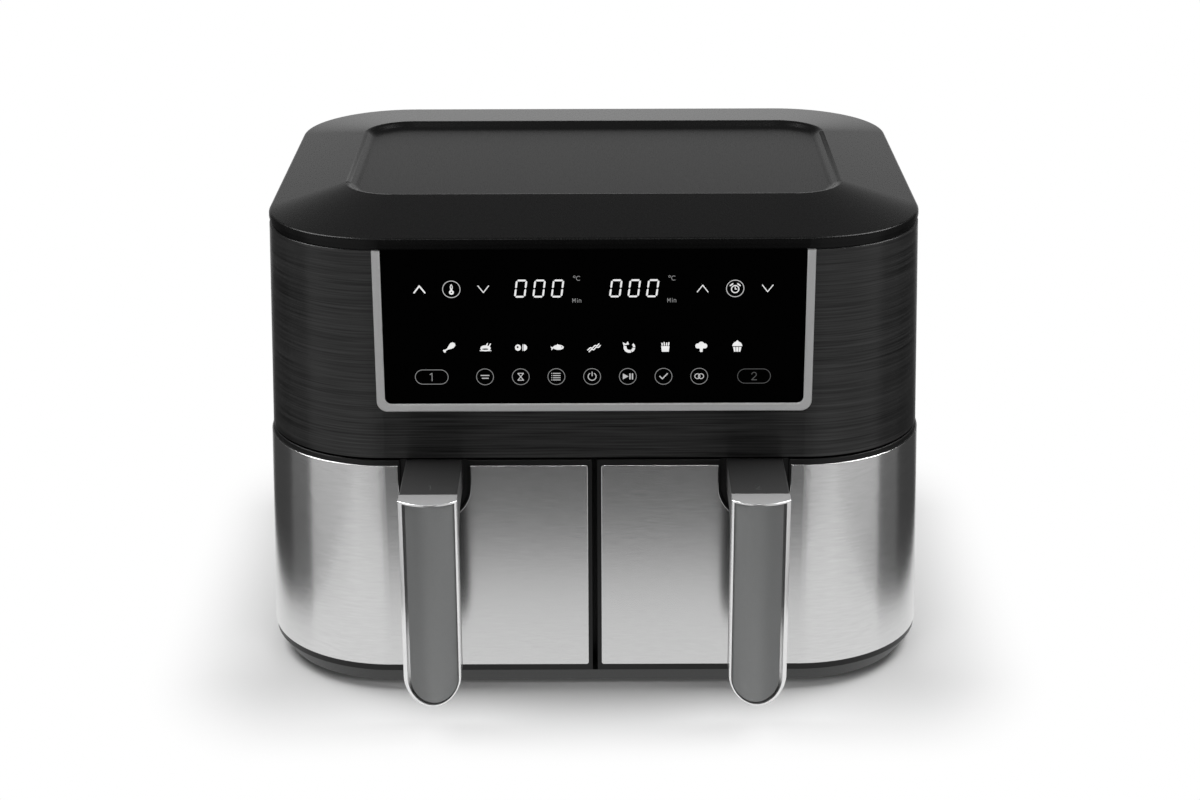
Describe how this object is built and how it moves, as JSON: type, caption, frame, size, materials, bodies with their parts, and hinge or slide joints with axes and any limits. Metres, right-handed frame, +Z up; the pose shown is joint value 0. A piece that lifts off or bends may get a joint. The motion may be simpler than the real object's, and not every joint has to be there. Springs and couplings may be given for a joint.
{
  "type": "air fryer",
  "caption": "Counter-top air fryer with side-by-side drawers, upright bar handles, steel drawer fronts and a black touch panel under a dished lid.",
  "frame": {"origin": "on the table, under the middle of the box round the whole appliance, handles included", "axes": "+X to the user's right, +Y to the back, +Z up"},
  "size_m": [0.4222, 0.395, 0.3048],
  "materials": {
    "lid_plastic": "satin black moulded plastic",
    "band_black": "black with fine horizontal brushing under a clear coat",
    "housing_black": "black plastic with a fine moulded grain",
    "base_grey": "dark grey moulded plastic",
    "glass_black": "gloss black touch glass",
    "trim_chrome": "bright plated",
    "steel_brushed": "horizontally brushed stainless steel",
    "grip_grey": "satin metallic grey",
    "handle_black": "satin black moulded plastic",
    "pot_coating": "dark grey non-stick coat",
    "sheet_steel": "plain aluminised sheet",
    "heater_tube": "heat-tinted tube",
    "fan_metal": "pressed sheet",
    "motor_steel": "zinc-plated can",
    "shaft_steel": "ground shaft",
    "screw_steel": "zinc-plated screws",
    "foot_rubber": "black rubber",
    "silicone": "dark grey silicone",
    "board_green": "solder-resist green",
    "display_dark": "dark display block",
    "pad_foam": "conductive foam",
    "relay_blue": "blue relay case",
    "switch_black": "black switch case",
    "cooler_plastic": "pale heat-proof plastic"
  },
  "bodies": {
    "chassis": {"base_pan": "base_grey", "base_screws": "screw_steel", "rubber_feet": "foot_rubber", "upper_housing": "band_black", "rear_cover": "housing_black", "rear_grilles": "housing_black", "rear_screws": "screw_steel", "cord_gland": "housing_black", "top_cover": "lid_plastic", "panel_trim": "trim_chrome", "control_glass": "glass_black", "panel_bezel": "housing_black", "control_board": "board_green", "display_modules": "display_dark", "touch_pads": "pad_foam", "centre_divider": "housing_black", "rear_bulkhead": "housing_black", "deck": "housing_black", "door_switches": "switch_black", "power_board": "board_green", "relays": "relay_blue", "thermal_cutouts": "sheet_steel", "temperature_probes": "heater_tube", "exhaust_ducts": "sheet_steel", "left_chamber": "sheet_steel", "left_heating_element": "heater_tube", "left_heater_guard": "shaft_steel", "left_motor": "motor_steel", "left_motor_bracket": "sheet_steel", "right_chamber": "sheet_steel", "right_heating_element": "heater_tube", "right_heater_guard": "shaft_steel", "right_motor": "motor_steel", "right_motor_bracket": "sheet_steel"},
    "left_drawer": {"left_pot": "pot_coating", "left_drawer_front": "housing_black", "left_drawer_skin": "steel_brushed", "left_drawer_backing": "housing_black", "left_handle_body": "handle_black", "left_handle_frame": "trim_chrome", "left_handle_insert": "grip_grey", "left_handle_screws": "screw_steel"},
    "left_plate": {"left_crisper_plate": "pot_coating", "left_plate_bumpers": "silicone"},
    "left_rotor": {"left_motor_shaft": "shaft_steel", "left_hot_air_fan": "fan_metal", "left_cooling_fan": "cooler_plastic"},
    "right_drawer": {"right_pot": "pot_coating", "right_drawer_front": "housing_black", "right_drawer_skin": "steel_brushed", "right_drawer_backing": "housing_black", "right_handle_body": "handle_black", "right_handle_frame": "trim_chrome", "right_handle_insert": "grip_grey", "right_handle_screws": "screw_steel"},
    "right_plate": {"right_crisper_plate": "pot_coating", "right_plate_bumpers": "silicone"},
    "right_rotor": {"right_motor_shaft": "shaft_steel", "right_hot_air_fan": "fan_metal", "right_cooling_fan": "cooler_plastic"}
  },
  "joints": [
    {"name": "left_drawer_slide", "type": "slide", "parent": "chassis", "child": "left_drawer", "axis": [0, -1, 0], "range_m": [0, 0.25]},
    {"name": "left_plate_lift", "type": "slide", "parent": "left_drawer", "child": "left_plate", "axis": [0, 0, 1], "range_m": [0, 0.11]},
    {"name": "left_fan_spin", "type": "hinge", "parent": "chassis", "child": "left_rotor", "pos_m": [-0.098, 0.0325, 0.2], "axis": [0, 0, 1], "continuous": true},
    {"name": "right_drawer_slide", "type": "slide", "parent": "chassis", "child": "right_drawer", "axis": [0, -1, 0], "range_m": [0, 0.25]},
    {"name": "right_plate_lift", "type": "slide", "parent": "right_drawer", "child": "right_plate", "axis": [0, 0, 1], "range_m": [0, 0.11]},
    {"name": "right_fan_spin", "type": "hinge", "parent": "chassis", "child": "right_rotor", "pos_m": [0.098, 0.0325, 0.2], "axis": [0, 0, 1], "continuous": true}
  ]
}
